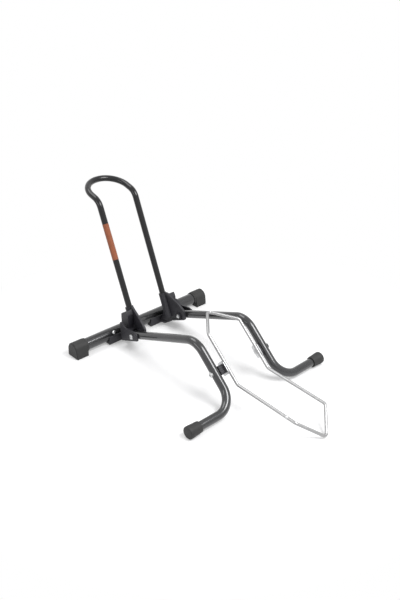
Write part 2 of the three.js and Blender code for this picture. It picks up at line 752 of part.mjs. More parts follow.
// A strap under the rod, which reaches past the axle.
function cradlePlate(side) {
  const [ay, az] = rearCorner;
  const [by, bz] = foldCorner;
  const run = new THREE.Vector2(by - ay, bz - az).normalize();
  const off = new THREE.Vector2(-run.y, run.x);
  const lift = off.dot(new THREE.Vector2(ay - CRADLE_Y, az - CRADLE_Z));
  const place = (along, up) => [
    CRADLE_Y + run.x * along + off.x * up,
    CRADLE_Z + run.y * along + off.y * up,
  ];
  const away = Math.sign(lift);
  const top = lift + away * (ROD_R - 1);
  const bottom = -away * PLATE_BELOW;
  const outline = rounded(
    [
      place(-PLATE_HALF, top),
      place(-PLATE_HALF, bottom),
      place(PLATE_HALF, bottom),
      place(PLATE_HALF, top),
    ],
    PLATE_ROUND,
  );
  const hole = circle(around(PIN_R + RUN_GAP)).map((p) => p.add(new THREE.Vector2(CRADLE_Y, CRADLE_Z)));
  return plate(outline, side * PLATE_X_IN, side * PLATE_X_OUT, [hole]);
}

add('cradle_rod', cradleRod(), BRIGHT_ROD);
SIDES.forEach(([hand, side]) => {
  add(`cradle_plate_${hand}`, cradlePlate(side), ZINC);

  const axis = [0, CRADLE_Y, CRADLE_Z];
  const outward = [side, 0, 0];
  const bore = PIN_R + SEAT_GAP;
  const washerFrom = LEG_X + LEG_R + SEAT_GAP;
  add(
    `cradle_washer_${hand}`,
    sleeve(WASHER_R, bore, washerFrom, washerFrom + WASHER_T, axis, outward),
    ZINC,
  );
  const headFrom = washerFrom + WASHER_T + SEAT_GAP;
  const nutTo = PLATE_X_IN - RUN_GAP;
  const length = headFrom - nutTo + CRADLE_NUT_H + CRADLE_TAIL;
  add(
    `cradle_bolt_${hand}`,
    bolt(PIN_R, PIN_HEAD_R, PIN_HEAD_H, length, [side * headFrom, CRADLE_Y, CRADLE_Z], [-side, 0, 0]),
    ZINC,
  );
  add(`cradle_nut_${hand}`, nut(PIN_NUT_R, bore, nutTo - CRADLE_NUT_H, nutTo, axis, outward), ZINC);
  const spacerTo = LEG_X - LEG_R - SEAT_GAP;
  add(
    `cradle_spacer_${hand}`,
    sleeve(SPACER_R, bore, PLATE_X_OUT + RUN_GAP, spacerTo, axis, outward),
    BLACK_PLASTIC,
  );
});

// The origin is on the floor under the middle of the whole stand.
const extent = new THREE.Box3().setFromObject(rack);
rack.position.y = -(extent.min.y + extent.max.y) / 2;

export default rack;
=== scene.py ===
# %% [markdown]
# # A floor rack that holds one bicycle
# The rack stands on four rubber caps. The front wheel rolls over the bright rod cradle, sinks
# between the two grey legs, and leans into the black hoop. The construction is loaded first, as a
# fixed frame, and every piece below is dressed in the same place and size as the solid it covers.

# %% Load the frame
import json
import math

import bmesh
import bpy
from mathutils import Matrix, Vector


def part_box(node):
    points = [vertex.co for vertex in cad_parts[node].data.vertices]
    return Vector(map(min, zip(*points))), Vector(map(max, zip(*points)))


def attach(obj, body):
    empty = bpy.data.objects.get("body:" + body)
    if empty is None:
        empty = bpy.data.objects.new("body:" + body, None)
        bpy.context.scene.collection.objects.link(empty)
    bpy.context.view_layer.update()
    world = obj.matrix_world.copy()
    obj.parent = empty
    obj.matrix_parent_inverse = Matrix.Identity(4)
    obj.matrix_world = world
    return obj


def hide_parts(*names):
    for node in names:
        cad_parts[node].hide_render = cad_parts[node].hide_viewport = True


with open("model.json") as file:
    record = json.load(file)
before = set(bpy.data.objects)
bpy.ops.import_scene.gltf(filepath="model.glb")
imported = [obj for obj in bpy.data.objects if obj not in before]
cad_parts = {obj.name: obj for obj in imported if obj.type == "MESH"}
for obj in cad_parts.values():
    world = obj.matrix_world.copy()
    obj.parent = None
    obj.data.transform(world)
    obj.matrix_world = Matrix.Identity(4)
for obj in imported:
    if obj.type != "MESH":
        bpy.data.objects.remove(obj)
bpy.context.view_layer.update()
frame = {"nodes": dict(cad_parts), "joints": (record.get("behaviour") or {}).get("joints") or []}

MM = 0.001
SIDES = (("left", -1), ("right", 1))

# %% [markdown]
# ## Where things are
# The sizes are the maker's: three sizes of round tube and one of rod. Places across the rack are
# counted from the axis of the crossbar, which is read from the frame, so a piece can't drift away
# from the solid that it covers.

# %% Sizes of the stock and the places of the axes
bar_low, bar_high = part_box("crossbar_tube")
BAR_Y = (bar_low.y + bar_high.y) / 2
BAR_Z = (bar_low.z + bar_high.z) / 2
BAR_HALF = bar_high.x
BAR_R = 19.05 * MM
BAR_WALL = 1.6 * MM

hinges = {joint["name"]: Vector(joint["pos_m"]) for joint in frame["joints"]}
FOLD_Y, FOLD_Z = hinges["leg_left_fold"].yz
CRADLE_Y, CRADLE_Z = hinges["cradle_rock"].yz

SEAT_GAP = 0.3 * MM
print("crossbar axis", round(BAR_Y, 4), round(BAR_Z, 4), "fold", round(FOLD_Y, 4), round(FOLD_Z, 4))

# %% [markdown]
# ## The camera
# The photograph looks down on the rack from the front left. The place and the angles were fitted to
# the tube ends, bends and bolts that show in it. The field of view belongs to a frame of 400 by 600,
# so the lens is given against the long side.

# %% Camera
CAMERA_PLACE = Vector((-1.24175, BAR_Y - 1.63062, 1.20723))
CAMERA_TURN = math.radians(42.6)
CAMERA_DIP = math.radians(28.46)
LONG_SIDE_FOCAL = 1.22

camera_data = bpy.data.cameras.new("camera")
camera_data.sensor_width = 36
camera_data.lens = camera_data.sensor_width * LONG_SIDE_FOCAL
camera_data.clip_end = 200
camera = bpy.data.objects.new("camera", camera_data)
bpy.context.scene.collection.objects.link(camera)
camera.location = CAMERA_PLACE
ahead = Vector((
    math.sin(CAMERA_TURN) * math.cos(CAMERA_DIP),
    math.cos(CAMERA_TURN) * math.cos(CAMERA_DIP),
    -math.sin(CAMERA_DIP),
))
camera.rotation_euler = ahead.to_track_quat("-Z", "Y").to_euler()
bpy.context.scene.camera = camera
bpy.context.scene.view_settings.view_transform = "Standard"
print("camera at", tuple(round(v, 3) for v in camera.location), "lens", round(camera_data.lens, 2))

# %% [markdown]
# ## Shader sums as plain sums
# A finish is easier to read as an expression than as a web of boxes. This class wraps one output of
# a node tree. Adding or multiplying two of them adds a Math node, and `node` makes any other node.

# %% A small class for shader expressions
class Wire:
    """One output of a node tree. Sums and products of wires add Math nodes."""

    def __init__(self, tree, socket=None):
        self.tree = tree
        self.socket = socket

    def node(self, kind, settings=None, inputs=None, output=0):
        made = self.tree.nodes.new(kind)
        for name, value in (settings or {}).items():
            if name == "stops":
                self.set_stops(made.color_ramp, value)
            else:
                setattr(made, name, value)
        for name, value in (inputs or {}).items():
            if isinstance(value, Wire):
                self.tree.links.new(value.socket, made.inputs[name])
            else:
                made.inputs[name].default_value = value
        return Wire(self.tree, made.outputs[output] if made.outputs else None)

    @staticmethod
    def set_stops(ramp, stops):
        while len(ramp.elements) < len(stops):
            ramp.elements.new(1.0)
        for element, (position, colour) in zip(ramp.elements, stops):
            element.position = position
            element.color = colour

    def math(self, operation, first, second):
        return self.node("ShaderNodeMath", {"operation": operation}, {0: first, 1: second})

    def __add__(self, other):
        return self.math("ADD", self, other)

    def __sub__(self, other):
        return self.math("SUBTRACT", self, other)

    def __rsub__(self, other):
        return self.math("SUBTRACT", other, self)

    def __mul__(self, other):
        return self.math("MULTIPLY", self, other)

    def __gt__(self, other):
        return self.math("GREATER_THAN", self, other)

    __radd__ = __add__
    __rmul__ = __mul__


def new_material(name):
    material = bpy.data.materials.new(name)
    material.use_nodes = True
    material.node_tree.nodes.clear()
    return material, Wire(material.node_tree)


def surface(wire, **sockets):
    """Ends a tree in a Principled surface. Keys are socket names with _ for a space."""
    inputs = {name.replace("_", " "): value for name, value in sockets.items()}
    shader = wire.node("ShaderNodeBsdfPrincipled", inputs=inputs)
    wire.node("ShaderNodeOutputMaterial", inputs={"Surface": shader})


def noise(wire, place, size, detail=3.0, roughness=0.5):
    """Noise between 0 and 1 whose grains are about `size` across."""
    inputs = {"Vector": place, "Scale": 1 / size, "Detail": detail, "Roughness": roughness}
    return wire.node("ShaderNodeTexNoise", {"noise_dimensions": "3D"}, inputs)


def between(wire, share, first, second):
    """A colour that goes from `first` to `second` with the share."""
    inputs = {0: share, 6: (*first, 1), 7: (*second, 1)}
    return wire.node("ShaderNodeMix", {"data_type": "RGBA"}, inputs, output=2)


def bump(wire, height, depth, strength=1.0):
    inputs = {"Height": height, "Distance": depth, "Strength": strength}
    return wire.node("ShaderNodeBump", inputs=inputs)


print("shader helpers ready")

# %% [markdown]
# ## The room
# A plain pale floor runs out of sight, and the sky behind it is as white. Only rays that end in the
# camera, in a gloss or in glass see that white. Near the rack the floor only gets a small lift, so
# that its soft shadow stays, and further out it turns to plain white.

# %% Floor and sky
FLOOR_HALF = 60
FLOOR_COLOUR = (0.8, 0.8, 0.805)
FLOOR_LIFT = 0.3
SKY_LIGHT = 0.38
SHADE_REACH = 0.5
SHADE_END = 0.85


def seen_directly(wire):
    """1 for rays of the camera, of a gloss or through glass, and 0 for soft light."""
    path = wire.node("ShaderNodeLightPath")
    sockets = path.socket.node.outputs
    camera_ray, glossy, through = (
        Wire(wire.tree, sockets[name])
        for name in ("Is Camera Ray", "Is Glossy Ray", "Is Transmission Ray")
    )
    return camera_ray + glossy + through > 0.5


def floor_material():
    material, wire = new_material("pale_floor")
    direct = seen_directly(wire)
    place = wire.node("ShaderNodeTexCoord", output="Object")
    reach = wire.node("ShaderNodeVectorMath", {"operation": "LENGTH"}, {0: place}, output="Value")
    far = (reach - SHADE_REACH) * (1 / (SHADE_END - SHADE_REACH))
    far = wire.node("ShaderNodeClamp", inputs={"Value": far})
    lit = wire.node(
        "ShaderNodeBsdfPrincipled",
        inputs={
            "Base Color": (*FLOOR_COLOUR, 1),
            "Roughness": 0.9,
            "Specular IOR Level": 0.1,
            "Emission Color": between(wire, direct, (0, 0, 0), (1, 1, 1)),
            "Emission Strength": FLOOR_LIFT,
        },
    )
    white = wire.node("ShaderNodeEmission", inputs={"Color": (1, 1, 1, 1), "Strength": 1.0})
    mixed = wire.node("ShaderNodeMixShader", inputs={0: direct * far, 1: lit, 2: white})
    wire.node("ShaderNodeOutputMaterial", inputs={"Surface": mixed})
    return material


def make_floor():
    bm = bmesh.new()
    bmesh.ops.create_grid(bm, x_segments=1, y_segments=1, size=FLOOR_HALF)
    mesh = bpy.data.meshes.new("floor")
    bm.to_mesh(mesh)
    bm.free()
    floor = bpy.data.objects.new("floor", mesh)
    bpy.context.scene.collection.objects.link(floor)
    mesh.materials.append(floor_material())


def make_sky():
    world = bpy.data.worlds.new("sky")
    world.use_nodes = True
    world.node_tree.nodes.clear()
    wire = Wire(world.node_tree)
    strength = SKY_LIGHT + (1 - SKY_LIGHT) * seen_directly(wire)
    sky = wire.node("ShaderNodeBackground", inputs={"Color": (1, 1, 1, 1), "Strength": strength})
    wire.node("ShaderNodeOutputWorld", inputs={"Surface": sky})
    bpy.context.scene.world = world


make_floor()
make_sky()
print("floor", 2 * FLOOR_HALF, "m wide, sky light", SKY_LIGHT)

# %% [markdown]
# ## The lamps
# Round glossy tubes show lamps as lines of light along them. A long softbox hangs in front of the
# rack and above it, where both the shins and the crossbar mirror it towards the camera. A broad one
# overhead gives the soft shadow, and a weak one at the left lights the near sides.

# %% Lamps
RACK_MIDDLE = Vector((0, 0, 0.15))


def softbox(name, place, along, length, width, power):
    """An area lamp that faces the rack, with its long side along the given direction."""
    data = bpy.data.lights.new(name, "AREA")
    data.shape = "RECTANGLE"
    data.size = length
    data.size_y = width
    data.energy = power
    back = (Vector(place) - RACK_MIDDLE).normalized()
    side = (Vector(along) - back * back.dot(along)).normalized()
    turn = Matrix((side, back.cross(side), back)).transposed().to_4x4()
    lamp = bpy.data.objects.new(name, data)
    bpy.context.scene.collection.objects.link(lamp)
    lamp.matrix_world = Matrix.Translation(place) @ turn
    print(f"{name}: {power} W over {length} by {width} m")


softbox("front_strip", (0.42, -1.32, 2.0), (0.76, 0.65, 0), 1.2, 1.0, 41)
softbox("overhead", (-0.25, 1.25, 2.5), (1, 0, 0), 1.6, 1.2, 20)
softbox("left_fill", (-2.2, 0.2, 1.2), (0, 1, 0), 1.4, 0.5, 7)

# %% [markdown]
# ## Bending tube
# A bender feeds a straight blank and turns it round a former. The helper does the same: a circle is
# extruded along each straight run and spun round each bend. While it grows, every point stores where
# it was on the straight blank, so a finish can follow the tube round its bends.

# %% Bent tube as a bmesh
TUBE_SIDES = 48
BEND_STEP = math.radians(5)


def bent(corners, bends, radius, sides=TUBE_SIDES):
    """A skin along straight runs and round bends. Returns the bmesh and its first and last rings."""
    bm = bmesh.new()
    blank = bm.verts.layers.float_vector.new("blank")
    points = [Vector(corner) for corner in corners]
    turn = (points[1] - points[0]).to_track_quat("Z", "X").to_matrix().to_4x4()
    start = Matrix.Translation(points[0]) @ turn
    bmesh.ops.create_circle(bm, segments=sides, radius=radius, matrix=start)
    for vert in bm.verts:
        vert[blank] = start.inverted() @ vert.co
    first = ring = bm.edges[:]
    here, fed = points[0], 0.0

    def mark(edges):
        for vert in {vert for edge in edges for vert in edge.verts}:
            vert[blank] = (*vert[blank].xy, fed)

    for i in range(1, len(points)):
        into = (points[i] - points[i - 1]).normalized()
        last_run = i == len(points) - 1
        out = into if last_run else (points[i + 1] - points[i]).normalized()
        angle = 0 if last_run else into.angle(out)
        setback = 0 if last_run else bends[i - 1] * math.tan(angle / 2)
        stop = points[i] - into * setback
        made = bmesh.ops.extrude_edge_only(bm, edges=ring)["geom"]
        new_verts = [item for item in made if isinstance(item, bmesh.types.BMVert)]
        bmesh.ops.translate(bm, verts=new_verts, vec=stop - here)
        ring = [item for item in made if isinstance(item, bmesh.types.BMEdge)]
        ring = [edge for edge in ring if all(vert in new_verts for vert in edge.verts)]
        fed += (stop - here).length
        mark(ring)
        here = points[i] + out * setback
        if last_run:
            break
        inward = (out - into * into.dot(out)).normalized()
        steps = max(2, math.ceil(angle / BEND_STEP))
        for _ in range(steps):
            swung = bmesh.ops.spin(
                bm,
                geom=ring,
                cent=stop + inward * bends[i - 1],
                axis=into.cross(out).normalized(),
                dvec=(0, 0, 0),
                angle=angle / steps,
                steps=1,
                use_merge=False,
                use_normal_flip=False,
                use_duplicate=False,
            )
            ring = [item for item in swung["geom_last"] if isinstance(item, bmesh.types.BMEdge)]
            fed += bends[i - 1] * angle / steps
            mark(ring)
    return bm, first, ring


def soften(bm, width, angle=30, segments=2):
    """Rounds every edge that turns by more than the angle."""
    edges = [
        edge for edge in bm.edges
        if len(edge.link_faces) == 2 and edge.calc_face_angle(0) > math.radians(angle)
    ]
    bmesh.ops.bevel(
        bm,
        geom=edges,
        offset=width,
        offset_type="OFFSET",
        segments=segments,
        profile=0.5,
        affect="EDGES",
        clamp_overlap=True,
        material=-1,
    )


def merged(bm):
    bmesh.ops.remove_doubles(bm, verts=bm.verts, dist=0.002 * MM)
    bmesh.ops.recalc_face_normals(bm, faces=bm.faces)


def piece(name, bm, material, body, slot, *nodes, sharp=35):
    """Makes a finished piece that rides on a body and stands for its nodes."""
    mesh = bpy.data.meshes.new(name)
    bm.to_mesh(mesh)
    bm.free()
    if "custom_normal" in mesh.attributes:
        mesh.attributes.remove(mesh.attributes["custom_normal"])
    mesh.polygons.foreach_set("use_smooth", [True] * len(mesh.polygons))
    mesh.set_sharp_from_angle(angle=math.radians(sharp))
    mesh.materials.append(material)
    made = bpy.data.objects.new(name, mesh)
    bpy.context.scene.collection.objects.link(made)
    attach(made, body)
    if nodes:
        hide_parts(*nodes)
    print(f"{name}: {len(mesh.polygons)} faces on {body}")
    return made


def drift(made, node):
    """How far a piece's box lies from the box of the solid that it covers, in mm."""
    corners = [Vector(corner) for corner in made.bound_box]
    low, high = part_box(node)
    own_low = Vector(min(corner[k] for corner in corners) for k in range(3))
    own_high = Vector(max(corner[k] for corner in corners) for k in range(3))
    gaps = [abs(v) / MM for v in (*(own_low - low), *(own_high - high))]
    print(f"{made.name} lies within {max(gaps):.2f} mm of the box of {node}")


print("tube helpers ready")

# %% [markdown]
# ## Paint, plastic, rubber, zinc and bright steel
# The grey paint holds metal flake under a clear coat, and the black paint is a plain gloss. Both
# are sprayed, so a faint orange peel bends their highlights. Their patterns read the `blank` place,
# which runs along the tube. Moulded and cast pieces read Object coordinates instead.

# %% Finishes
FLAKE_SIZE = 0.45 * MM
SPANGLE_SIZE = 2.2 * MM


def object_place(wire):
    return wire.node("ShaderNodeTexCoord", output="Object")


def blank_place(wire):
    return wire.node("ShaderNodeAttribute", {"attribute_name": "blank"}, output="Vector")


def painted(name, dark, light, metallic, roughness, coat_ior):
    material, wire = new_material(name)
    place = blank_place(wire)
    cells = {"Vector": place, "Scale": 1 / FLAKE_SIZE}
    flake = wire.node("ShaderNodeTexVoronoi", inputs=cells, output="Color")
    glint = wire.node("ShaderNodeSeparateColor", inputs={"Color": flake}, output="Red")
    cloud = noise(wire, place, 60 * MM)
    peel = noise(wire, place, 3.5 * MM, detail=1.0)
    surface(
        wire,
        Base_Color=between(wire, 0.6 * glint + 0.4 * cloud, dark, light),
        Metallic=metallic,
        Roughness=roughness + 0.12 * glint,
        Specular_IOR_Level=0.1,
        Coat_Weight=1.0,
        Coat_IOR=coat_ior,
        Coat_Roughness=0.04,
        Normal=bump(wire, peel, 0.05 * MM),
    )
    return material


def moulded(name, dark, light, roughness, grain, depth):
    material, wire = new_material(name)
    place = object_place(wire)
    fine = noise(wire, place, grain, detail=4.0, roughness=0.6)
    flow = noise(wire, place, 18 * MM, detail=2.0)
    surface(
        wire,
        Base_Color=between(wire, 0.5 * fine + 0.5 * flow, dark, light),
        Roughness=roughness + 0.16 * (flow - 0.5),
        Normal=bump(wire, fine, depth),
    )
    return material


def plated(name):
    material, wire = new_material(name)
    place = object_place(wire)
    cells = {"Vector": place, "Scale": 1 / SPANGLE_SIZE}
    spangle = wire.node("ShaderNodeTexVoronoi", inputs=cells, output="Color")
    tone = wire.node("ShaderNodeSeparateColor", inputs={"Color": spangle}, output="Green")
    cloud = noise(wire, place, 9 * MM)
    surface(
        wire,
        Base_Color=between(wire, 0.5 * tone + 0.5 * cloud, (0.44, 0.44, 0.43), (0.66, 0.67, 0.69)),
        Metallic=1.0,
        Roughness=0.24 + 0.14 * tone,
        Normal=bump(wire, noise(wire, place, 0.7 * MM), 0.012 * MM),
    )
    return material


def drawn(name):
    material, wire = new_material(name)
    along_the_rod = {"Vector": blank_place(wire), "Scale": (1, 1, 0.02)}
    stretched = wire.node("ShaderNodeMapping", inputs=along_the_rod)
    lines = noise(wire, stretched, 0.25 * MM, detail=4.0, roughness=0.7)
    cloud = noise(wire, blank_place(wire), 35 * MM)
    surface(
        wire,
        Base_Color=between(wire, 0.6 * lines + 0.4 * cloud, (0.28, 0.28, 0.275), (0.48, 0.48, 0.49)),
        Metallic=1.0,
        Roughness=0.24 + 0.16 * lines,
        Normal=bump(wire, lines, 0.01 * MM),
    )
    return material


def wrapped_film(name):
    material, wire = new_material(name)
    place = object_place(wire)
    cloud = noise(wire, place, 14 * MM)
    weave = noise(wire, place, 0.5 * MM)
    surface(
        wire,
        Base_Color=between(wire, cloud, (0.27, 0.085, 0.04), (0.36, 0.115, 0.055)),
        Roughness=0.34 + 0.1 * weave,
        Specular_IOR_Level=0.3,
        Coat_Weight=0.1,
        Coat_Roughness=0.12,
        Normal=bump(wire, weave, 0.008 * MM),
    )
    return material


GREY_PAINT = painted(
    "grey_flake_paint", (0.020, 0.020, 0.021), (0.062, 0.063, 0.066), 0.7, 0.22, 1.5
)
BLACK_PAINT = painted(
    "black_gloss_paint", (0.004, 0.004, 0.005), (0.010, 0.010, 0.011), 0.0, 0.3, 1.38
)
BRACKET_PLASTIC = moulded(
    "bracket_plastic", (0.014, 0.014, 0.018), (0.026, 0.025, 0.031), 0.5, 0.5 * MM, 0.03 * MM
)
CAP_RUBBER = moulded(
    "cap_rubber", (0.013, 0.013, 0.013), (0.030, 0.030, 0.030), 0.62, 0.9 * MM, 0.06 * MM
)
ZINC = plated("bright_zinc")
BRIGHT_ROD = drawn("bright_drawn_rod")
ORANGE_FILM = wrapped_film("orange_film")
print("finishes", [m.name for m in bpy.data.materials])

# %% [markdown]
# ## The crossbar
# The widest tube lies across the back and carries everything. It is one straight blank, so one
# extrusion makes it, and the solidify operator gives it its wall. The cross holes of the real tubes
# aren't cut here: bolt heads and brackets cover the places where they would be.

# %% Crossbar
def walled(corners, bends, radius, wall):
    bm, _, _ = bent(corners, bends, radius)
    merged(bm)
    bmesh.ops.solidify(bm, geom=bm.faces[:], thickness=wall)
    bmesh.ops.recalc_face_normals(bm, faces=bm.faces)
    return bm


bar_ends = [(-BAR_HALF, BAR_Y, BAR_Z), (BAR_HALF, BAR_Y, BAR_Z)]
crossbar = piece(
    "crossbar_painted", walled(bar_ends, [], BAR_R, BAR_WALL),
    GREY_PAINT, "frame", "grey_paint", "crossbar_tube",
)
drift(crossbar, "crossbar_tube")

# %% [markdown]
# ## The hoop
# A thinner tube rises from both brackets, bends back over the wheel and turns round it in a bow. The
# whole hoop is one blank with four bends: one where each leg turns back, and one at each corner of
# the bow.

# %% Hoop
HOOP_R = 9.5 * MM
HOOP_WALL = 1.5 * MM
HOOP_X = 67 * MM
HOOP_LEAN = math.radians(22)
HOOP_AXIS = Vector((0, BAR_Y - 25.2 * MM, 128 * MM))
HOOP_FOOT = -89.7 * MM
HOOP_RISE = 319 * MM
HOOP_BEND_R = 40 * MM
BOW_PITCH = math.radians(16)
BOW_DEPTH = 102 * MM
BOW_CORNER_R = 66 * MM
hoop_up = Vector((0, math.sin(HOOP_LEAN), math.cos(HOOP_LEAN)))
hoop_front = Vector((0, -math.cos(HOOP_LEAN), math.sin(HOOP_LEAN)))
bow_back = Vector((0, math.cos(BOW_PITCH), math.sin(BOW_PITCH)))


def on_hoop(side, along, front=0.0):
    """A place along one leg of the hoop, and in front of its axis."""
    return Vector((side * HOOP_X, 0, 0)) + HOOP_AXIS + hoop_up * along + hoop_front * front


def hoop_half(side):
    shoulder = on_hoop(side, HOOP_RISE)
    return [on_hoop(side, HOOP_FOOT), shoulder, shoulder + bow_back * BOW_DEPTH]


hoop_corners = [*hoop_half(-1), *reversed(hoop_half(1))]
hoop_bends = [HOOP_BEND_R, BOW_CORNER_R, BOW_CORNER_R, HOOP_BEND_R]
hoop = piece(
    "hoop_painted", walled(hoop_corners, hoop_bends, HOOP_R, HOOP_WALL),
    BLACK_PAINT, "frame", "black_paint", "hoop_tube",
)
drift(hoop, "hoop_tube")

# %% [markdown]
# ## The orange film
# A bare orange film is wrapped once round the left leg of the hoop. It is a thin strip whose outer
# face lies just off the paint, and its end laps over its own start.

# %% Orange film
FILM_THICK = 0.18 * MM
FILM_LIFT = 0.02 * MM
FILM_FROM = 137 * MM
FILM_TO = 249 * MM
FILM_LAP = math.radians(24)
FILM_STEPS = 56


def film():
    """A strip spun round the leg: it starts on the paint and ends on its own start."""
    bm = bmesh.new()
    low, high = (bm.verts.new((0, HOOP_R + FILM_LIFT, station)) for station in (FILM_FROM, FILM_TO))
    strip = bm.edges.new((low, high))
    bmesh.ops.spin(
        bm, geom=[low, high, strip], cent=(0, 0, 0), axis=(0, 0, 1), dvec=(0, 0, 0),
        angle=2 * math.pi + FILM_LAP, steps=FILM_STEPS, use_merge=False, use_duplicate=False,
    )
    bm.verts.ensure_lookup_table()
    for i, vert in enumerate(bm.verts):
        turn_share = (i // 2) / FILM_STEPS
        vert.co.xy *= 1 + 1.15 * FILM_THICK * turn_share / HOOP_R
    bmesh.ops.recalc_face_normals(bm, faces=bm.faces)
    bmesh.ops.solidify(bm, geom=bm.faces[:], thickness=FILM_THICK)
    bmesh.ops.recalc_face_normals(bm, faces=bm.faces)
    turn = Vector((0, 0, 1)).rotation_difference(hoop_up).to_matrix().to_4x4()
    bm.transform(Matrix.Translation(on_hoop(-1, 0)) @ turn)
    return bm


piece("orange_film", film(), ORANGE_FILM, "frame", "black_paint")

# %% [markdown]
# ## The legs
# Each leg is one tube with two bends. It rises from the fold bolt to a knee, drops to the floor and
# turns outwards to its foot. The knee is bent in the upright plane and the foot out of it.

# %% Legs
LEG_R = 12.7 * MM
LEG_WALL = 1.5 * MM
LEG_X = 96 * MM
LEG_BEND_R = 60 * MM
LEG_TAIL = 34 * MM
KNEE_Y = BAR_Y - 369 * MM
KNEE_Z = 158.5 * MM
FOOT_Y = BAR_Y - 520 * MM
FOOT_CAP_R = 18 * MM
FOOT_CAP_END_WALL = 5 * MM
FOOT_HALF = 264 * MM
fold_axis = Vector((0, FOLD_Y, FOLD_Z))
leg_ahead = (Vector((0, KNEE_Y, KNEE_Z)) - fold_axis).normalized()


def leg_corners(side):
    across = Vector((side * LEG_X, 0, 0))
    foot_end = FOOT_HALF - FOOT_CAP_END_WALL - SEAT_GAP
    return [
        across + fold_axis - leg_ahead * LEG_TAIL,
        across + Vector((0, KNEE_Y, KNEE_Z)),
        across + Vector((0, FOOT_Y, FOOT_CAP_R)),
        Vector((side * foot_end, FOOT_Y, FOOT_CAP_R)),
    ]


for hand, side in SIDES:
    leg = walled(leg_corners(side), [LEG_BEND_R, LEG_BEND_R], LEG_R, LEG_WALL)
    node = f"leg_tube_{hand}"
    drift(piece(f"leg_{hand}_painted", leg, GREY_PAINT, f"leg_{hand}", "grey_paint", node), node)

# %% [markdown]
# ## The cradle rod
# One bright rod makes a closed loop: a low nose in front, two straight rails, a fold up to the back
# and a peak that holds the tyre. Its ends meet in a butt weld on the left rail, where a bead stands
# proud.

# %% Cradle rod
ROD_R = 4.5 * MM
ROD_BEND_R = 14 * MM
ROD_TIP_R = 10 * MM
ROD_X = 60.3 * MM
WELD_SHARE = 0.14
WELD_R = 5.4 * MM
WELD_LENGTH = 7 * MM


def on_cradle(x, ahead_of, above):
    """A place counted from the cradle's bolts, towards the back and up, in millimetres."""
    return Vector((x, CRADLE_Y + ahead_of * MM, CRADLE_Z + above * MM))


REAR_TIP = on_cradle(0, 134, 99.4)
REAR_CORNER = (65.5, 80.8)
RAIL_FOLD = (-52, -28.7)
FRONT_CORNER = (-258, -40)
FRONT_TIP = Vector((0, CRADLE_Y - 315 * MM, ROD_R))


def cradle_rod():
    left = [on_cradle(-ROD_X, *corner) for corner in (RAIL_FOLD, REAR_CORNER)]
    right = [on_cradle(ROD_X, *corner) for corner in (REAR_CORNER, RAIL_FOLD, FRONT_CORNER)]
    nose = on_cradle(-ROD_X, *FRONT_CORNER)
    weld = nose.lerp(left[0], WELD_SHARE)
    corners = [weld, *left, REAR_TIP, *right, FRONT_TIP, nose, weld]
    half = [ROD_BEND_R, ROD_BEND_R, ROD_TIP_R, ROD_BEND_R]
    bm, _, _ = bent(corners, [*half, *half], ROD_R, sides=32)
    merged(bm)
    return bm, weld, (left[0] - nose).normalized()


rod_bm, weld_place, weld_run = cradle_rod()
rod = piece("cradle_rod_bent", rod_bm, BRIGHT_ROD, "cradle", "bright_rod", "cradle_rod")
drift(rod, "cradle_rod")

# %% [markdown]
# ## Turned, cut and moulded shapes
# Bolt heads, washers, bushes and foot caps are turned: a profile is drawn once and spun about its
# axis. Sockets and bores are cut with a Boolean, as a drill would. The moulded brackets start from
# the skin of their solid, whose flat faces are made whole and whose hard edges are then rounded.

# %% Helpers for turned, cut and moulded shapes
def seat(bm, origin, direction):
    """Turns a shape that stands on z to stand along the direction at its place."""
    turn = Vector((0, 0, 1)).rotation_difference(Vector(direction)).to_matrix().to_4x4()
    bm.transform(Matrix.Translation(origin) @ turn)
    return bm


def lathe(profile, steps=48):
    """Spins a profile of (radius, station) in millimetres about the z axis."""
    bm = bmesh.new()
    verts = [bm.verts.new((radius * MM, 0, station * MM)) for radius, station in profile]
    edges = [bm.edges.new(pair) for pair in zip(verts, verts[1:])]
    bmesh.ops.spin(
        bm, geom=verts + edges, cent=(0, 0, 0), axis=(0, 0, 1), dvec=(0, 0, 0),
        angle=2 * math.pi, steps=steps, use_merge=True, use_duplicate=False,
    )
    merged(bm)
    return bm


def prism(radius, low, high, sides=6):
    """A closed prism on the z axis, with its sizes in millimetres."""
    bm = bmesh.new()
    bmesh.ops.create_cone(
        bm, cap_ends=True, segments=sides, radius1=radius * MM, radius2=radius * MM,
        depth=(high - low) * MM, matrix=Matrix.Translation((0, 0, (high + low) / 2 * MM)),
    )
    return bm


def carved(bm, tool, operation="DIFFERENCE"):
    """Cuts one shape with another and gives back a new bmesh."""
    stand_ins = []
    for shape in (bm, tool):
        mesh = bpy.data.meshes.new("cutting")
        shape.to_mesh(mesh)
        shape.free()
        stand_ins.append(bpy.data.objects.new("cutting", mesh))
        bpy.context.scene.collection.objects.link(stand_ins[-1])
    blank, cutter = stand_ins
    cut = blank.modifiers.new("cut", "BOOLEAN")
    cut.operation = operation
    cut.solver = "EXACT"
    cut.object = cutter
    bpy.context.view_layer.update()
    depsgraph = bpy.context.evaluated_depsgraph_get()
    whole = bpy.data.meshes.new_from_object(blank.evaluated_get(depsgraph))
    result = bmesh.new()
    result.from_mesh(whole)
    bpy.data.meshes.remove(whole)
    for stand_in in stand_ins:
        mesh = stand_in.data
        bpy.data.objects.remove(stand_in)
        bpy.data.meshes.remove(mesh)
    return result


def joined(*shapes):
    """Puts separate closed shapes into one bmesh."""
    bm = bmesh.new()
    for shape in shapes:
        mesh = bpy.data.meshes.new("joining")
        shape.to_mesh(mesh)
        shape.free()
        bm.from_mesh(mesh)
        bpy.data.meshes.remove(mesh)
    return bm


